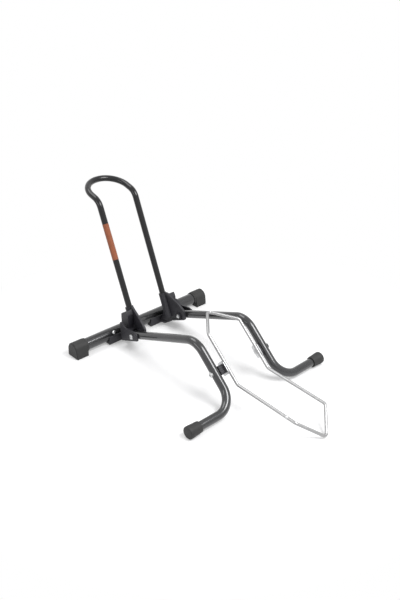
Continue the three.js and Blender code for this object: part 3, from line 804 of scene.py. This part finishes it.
def copied(node, width, segments=2):
    """The skin of a solid with whole flat faces and rounded hard edges."""
    bm = bmesh.new()
    bm.from_mesh(frame["nodes"][node].data)
    bmesh.ops.remove_doubles(bm, verts=bm.verts, dist=0.01 * MM)
    bmesh.ops.dissolve_limit(
        bm, angle_limit=math.radians(1.5), verts=bm.verts, edges=bm.edges, use_dissolve_boundaries=False
    )
    soften(bm, width, angle=34, segments=segments)
    return bm


def flat_shaded(made):
    """Lets the big faces set the shading, so that only the rounded edges curve the light."""
    finish = made.modifiers.new("flat faces", "WEIGHTED_NORMAL")
    finish.keep_sharp = True
    return made


print("shape helpers ready")

# %% [markdown]
# ## The moulded brackets
# Each bracket is one plastic moulding: a trough that cradles the crossbar, a leaning gusset, a
# socket for the hoop's leg and a fork for the folding leg. Its many flats meet at hard edges in the
# construction. Real moulds round them, so every edge gets a small radius that catches the light.

# %% Brackets
BRACKET_EDGE = 0.7 * MM

for hand, side in SIDES:
    node = f"bracket_{hand}"
    bracket = piece(
        f"moulded_bracket_{hand}", copied(node, BRACKET_EDGE),
        BRACKET_PLASTIC, "frame", "black_plastic", node,
    )
    drift(flat_shaded(bracket), node)

# %% [markdown]
# ## Rubber caps
# The crossbar stands on two square-footed caps with tread grooves, and the legs on two round ones.
# The square ones keep the skin of their solid with softer edges. The round ones are turned, with a
# thin lip, a slight taper and a thicker shoe at the end.

# %% Caps
CAP_EDGE = 1.2 * MM
FOOT_CAP_PROFILE = [
    (0, 259), (13, 259), (13, 223.3), (13.4, 223), (15.4, 223), (15.9, 223.5),
    (16.5, 228), (17.4, 249.4), (17.6, 250.4), (18, 251.6), (18, 261), (17.6, 262.5),
    (16.5, 263.6), (15, 264), (0, 264),
]

for hand, side in SIDES:
    node = f"crossbar_cap_{hand}"
    skin = copied(node, CAP_EDGE, 3)
    cap = piece(f"square_cap_{hand}", skin, CAP_RUBBER, "frame", "cap_rubber", node)
    drift(flat_shaded(cap), node)
    node = f"foot_cap_{hand}"
    shoe = seat(lathe(FOOT_CAP_PROFILE, 64), (0, FOOT_Y, FOOT_CAP_R), (side, 0, 0))
    cap = piece(f"round_cap_{hand}", shoe, CAP_RUBBER, f"leg_{hand}", "cap_rubber", node)
    drift(cap, node)

# %% [markdown]
# ## Bolts, nuts and washers
# The bolts are plated steel. A head is a turned dome, with a six-sided socket cut into it where a key
# turns it. The thread is a real helix: a small V is spun down the shank and sinks by one pitch each
# turn, so its own turns meet. Its ends are cut square and closed.

# %% Bolt, nut and washer shapes
PITCH = 1.25
THREAD_STEPS = 24


def thread(radius, low, high):
    """A screw thread between two stations, in millimetres."""
    root = radius - 0.6 * PITCH
    bm = bmesh.new()
    start = low - PITCH
    profile = [(root, start), (radius, start + PITCH / 2), (root, start + PITCH)]
    verts = [bm.verts.new((r * MM, 0, z * MM)) for r, z in profile]
    edges = [bm.edges.new(pair) for pair in zip(verts, verts[1:])]
    turns = math.ceil((high - low) / PITCH) + 2
    bmesh.ops.spin(
        bm, geom=verts + edges, cent=(0, 0, 0), axis=(0, 0, 1),
        dvec=(0, 0, PITCH * MM / THREAD_STEPS), angle=2 * math.pi * turns,
        steps=THREAD_STEPS * turns, use_merge=False, use_duplicate=False,
    )
    bmesh.ops.remove_doubles(bm, verts=bm.verts, dist=0.01 * MM)
    for station, up in ((low, -1), (high, 1)):
        bmesh.ops.bisect_plane(
            bm, geom=bm.verts[:] + bm.edges[:] + bm.faces[:], dist=0.0001 * MM,
            plane_co=(0, 0, station * MM), plane_no=(0, 0, up), clear_outer=True,
        )
    open_edges = [edge for edge in bm.edges if edge.is_boundary]
    bmesh.ops.holes_fill(bm, edges=open_edges, sides=0)
    bmesh.ops.recalc_face_normals(bm, faces=bm.faces)
    return bm


def dome(radius, height, steps=7):
    """The profile of a domed head from its top to its rim."""
    angles = [math.pi / 2 * i / steps for i in range(steps + 1)]
    crown = [(radius * math.sin(t), height * (0.3 + 0.7 * math.cos(t))) for t in angles]
    return [*crown, (0.96 * radius, 0)]


def bolt(head_r, head_h, shank_r, length, threaded, socket=0.0):
    """A bolt whose head stands up from 0 and whose shank hangs down, in millimetres."""
    core = shank_r - 0.5 * PITCH
    plain = length - threaded
    profile = [
        *dome(head_r, head_h), (shank_r, 0), (shank_r, -plain), (core, -plain - 0.4),
        (core, 0.6 - length), (core - 0.6, -length), (0, -length),
    ]
    head = lathe(profile)
    if socket:
        head = carved(head, prism(socket, 0.35 * head_h, head_h + 2))
    return joined(head, thread(shank_r, 0.8 - length, -plain - 0.3))


def nut(corner, height, bore):
    """A six-sided nut that stands up from 0, with turned corners."""
    chamfer = 0.1 * corner
    turned = lathe([
        (0, 0), (corner - chamfer, 0), (corner, 0.6 * chamfer), (corner, height - 0.6 * chamfer),
        (corner - chamfer, height), (0, height),
    ])
    body = carved(prism(corner, -1, height + 1), turned, "INTERSECT")
    return carved(body, prism(bore, -1, height + 1, 32))


def ring(bore, radius, height, edge=0.25):
    """A washer or bush that stands up from 0, with its edges rounded."""
    return lathe([
        (bore, edge), (bore + edge, 0), (radius - edge, 0), (radius, edge), (radius, height - edge),
        (radius - edge, height), (bore + edge, height), (bore, height - edge), (bore, edge),
    ])


print("bolt, nut and washer shapes ready")

# %% [markdown]
# ## Fastening the brackets
# A smooth domed bolt goes slantwise through each trough and the crossbar, with its nut in a pocket at
# the back. A small screw behind each socket keeps the hoop's leg from turning or lifting.

# %% Crossbar bolts and hoop screws
CROSS_X = 119.5 * MM
CROSS_SLANT = math.radians(36)
CROSS_HEAD = 19.35 * MM
CROSS_NUT = 22.65 * MM
HOOP_SCREW_ALONG = -28 * MM
HOOP_SCREW_FRONT = -13.3 * MM
cross_run = Vector((0, math.cos(CROSS_SLANT), -math.sin(CROSS_SLANT)))

for hand, side in SIDES:
    middle = Vector((side * CROSS_X, BAR_Y, BAR_Z))
    made = seat(bolt(6, 3.2, 3, 48, 14), middle - cross_run * CROSS_HEAD, -cross_run)
    piece(f"dome_bolt_{hand}", made, ZINC, "frame", "zinc", f"crossbar_bolt_{hand}")
    made = seat(nut(5.8, 5, 3.05), middle + cross_run * CROSS_NUT, cross_run)
    piece(f"pocket_nut_{hand}", made, ZINC, "frame", "zinc", f"crossbar_nut_{hand}")
    screw_place = on_hoop(side, HOOP_SCREW_ALONG, HOOP_SCREW_FRONT)
    made = seat(bolt(4.6, 2.6, 2.4, 8.3, 6, 1.5), screw_place, -hoop_front)
    piece(f"socket_screw_{hand}", made, ZINC, "frame", "zinc", f"hoop_screw_{hand}")

# %% [markdown]
# ## The fold
# Each leg turns on a socket-headed bolt through the bracket's fork. A steel bush lines the leg's bore
# so that the bolt can be tightened without crushing the tube, and a washer spreads the head's load.

# %% Fold bolts
for hand, side in SIDES:
    out = Vector((side, 0, 0))

    def on_fold(station):
        return Vector((side * station * MM, FOLD_Y, FOLD_Z))

    made = seat(bolt(7.2, 3.8, 4, 47.9, 16, 2.9), on_fold(115.6), out)
    piece(f"fold_key_bolt_{hand}", made, ZINC, "frame", "zinc", f"fold_bolt_{hand}")
    piece(
        f"fold_flat_washer_{hand}", seat(ring(4.3, 8.2, 1.5), on_fold(113.8), out),
        ZINC, "frame", "zinc", f"fold_washer_{hand}",
    )
    piece(
        f"fold_hex_nut_{hand}", seat(nut(7.5, 6.5, 4.05), on_fold(71.7), out),
        ZINC, "frame", "zinc", f"fold_nut_{hand}",
    )
    piece(
        f"fold_steel_bush_{hand}", seat(ring(4.3, 6.2, 25.4), on_fold(83.3), out),
        ZINC, f"leg_{hand}", "zinc", f"fold_bush_{hand}",
    )

# %% [markdown]
# ## The rocking cradle's bolts and straps
# The cradle hangs between the legs on two bolts. Outside each rail a plated strap turns on the bolt,
# and a ribbed plastic block fills the space between strap and leg. The block is a box with
# four shallow grooves cut round its long way, and its bore takes the bolt.

# %% Cradle bolts, straps and blocks
BLOCK_ALONG = 27
BLOCK_ACROSS = 16
BLOCK_THICK = 14.5
BLOCK_GROOVES = (-8.7, -2.9, 2.9, 8.7)
shin_down = Vector((0, -0.732, -0.681))


def box(width, depth, height, place=(0, 0, 0)):
    """A box with its sizes and its middle in millimetres."""
    bm = bmesh.new()
    bmesh.ops.create_cube(bm, size=1.0)
    bmesh.ops.scale(bm, vec=(width * MM, depth * MM, height * MM), verts=bm.verts)
    bmesh.ops.translate(bm, vec=Vector(place) * MM, verts=bm.verts)
    return bm


def ribbed_block():
    """The block with its thickness along z and its long way along x."""
    body = box(BLOCK_ALONG, BLOCK_ACROSS, BLOCK_THICK, (0, 0, BLOCK_THICK / 2))
    upright = [
        edge for edge in body.edges
        if abs(edge.verts[0].co.z - edge.verts[1].co.z) > 0.5 * BLOCK_THICK * MM
    ]
    bmesh.ops.bevel(
        body, geom=upright, offset=4 * MM, offset_type="OFFSET", segments=5, profile=0.5,
        affect="EDGES", clamp_overlap=True, material=-1,
    )
    core = box(BLOCK_ALONG + 2, BLOCK_ACROSS - 2.4, BLOCK_THICK + 2, (0, 0, BLOCK_THICK / 2))
    bars = [
        box(1.8, BLOCK_ACROSS + 4, BLOCK_THICK + 4, (x, 0, BLOCK_THICK / 2)) for x in BLOCK_GROOVES
    ]
    body = carved(body, carved(joined(*bars), core))
    body = carved(body, prism(4.3, -1, BLOCK_THICK + 1, 32))
    soften(body, 0.35 * MM, angle=50)
    return body


for hand, side in SIDES:
    out = Vector((side, 0, 0))

    def on_rocker(station):
        return Vector((side * station * MM, CRADLE_Y, CRADLE_Z))

    leg_body = f"leg_{hand}"
    made = seat(bolt(7.2, 3.8, 4, 51.6, 16, 2.9), on_rocker(110.8), out)
    piece(f"cradle_key_bolt_{hand}", made, ZINC, leg_body, "zinc", f"cradle_bolt_{hand}")
    piece(
        f"cradle_flat_washer_{hand}", seat(ring(4.3, 8.2, 1.5), on_rocker(109), out),
        ZINC, leg_body, "zinc", f"cradle_washer_{hand}",
    )
    piece(
        f"cradle_hex_nut_{hand}", seat(nut(7.5, 4, 4.05), on_rocker(60.7), out),
        ZINC, leg_body, "zinc", f"cradle_nut_{hand}",
    )
    block = ribbed_block()
    turn = Matrix((shin_down, out.cross(shin_down), out)).transposed().to_4x4()
    block.transform(Matrix.Translation(on_rocker(68.5)) @ turn)
    flat_shaded(piece(
        f"ribbed_block_{hand}", block,
        BRACKET_PLASTIC, leg_body, "black_plastic", f"cradle_spacer_{hand}",
    ))
    node = f"cradle_plate_{hand}"
    strap = piece(f"rocker_strap_{hand}", copied(node, 0.45 * MM), ZINC, "cradle", "zinc", node)
    drift(flat_shaded(strap), node)

# %% [markdown]
# ## The weld
# The rod's ends meet on the left rail. A butt weld leaves a swollen ring with fine ripples, so a wavy
# profile is turned and slid over the joint.

# %% Weld bead
def weld_bead():
    half = WELD_LENGTH / 2 / MM
    profile = [(ROD_R / MM - 0.3, -half)]
    for i in range(15):
        share = i / 14
        swell = math.sin(math.pi * share) ** 0.6
        ripple = 0.08 * math.cos(6 * math.pi * share)
        radius = ROD_R / MM + (WELD_R - ROD_R) / MM * swell * (1 - ripple)
        profile.append((radius, (2 * share - 1) * half))
    profile.append((ROD_R / MM - 0.3, half))
    return seat(lathe([*profile, profile[0]], 32), weld_place, weld_run)


piece("weld_bead", weld_bead(), ZINC, "cradle", "bright_rod")
